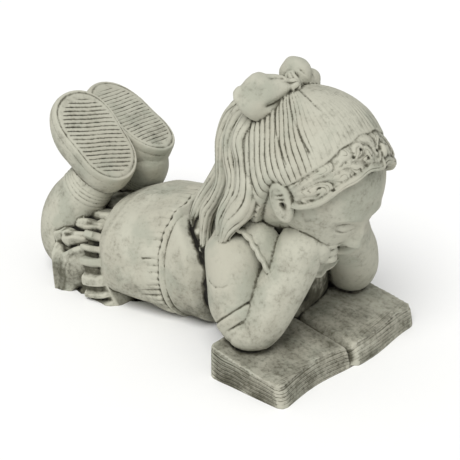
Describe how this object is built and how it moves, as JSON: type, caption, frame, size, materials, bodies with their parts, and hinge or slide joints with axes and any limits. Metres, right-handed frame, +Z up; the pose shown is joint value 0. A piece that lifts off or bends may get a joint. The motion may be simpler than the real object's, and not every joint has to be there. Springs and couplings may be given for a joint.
{
  "type": "reading girl statue",
  "caption": "Cast stone garden statue of a girl lying on her front, chin on hands, reading an open book, feet raised behind.",
  "frame": {"origin": "bottom centre of the bounding box, on the ground plane that the casting rests on", "axes": "+X the way the girl faces and the book opens, +Y her left, +Z up"},
  "size_m": [0.5034, 0.2766, 0.3608],
  "materials": {
    "cast_stone": "weathered matt cast stone with a dark wash in the crevices and pale worn ridges"
  },
  "bodies": {
    "root": {"reading_girl": "cast_stone"}
  },
  "joints": []
}
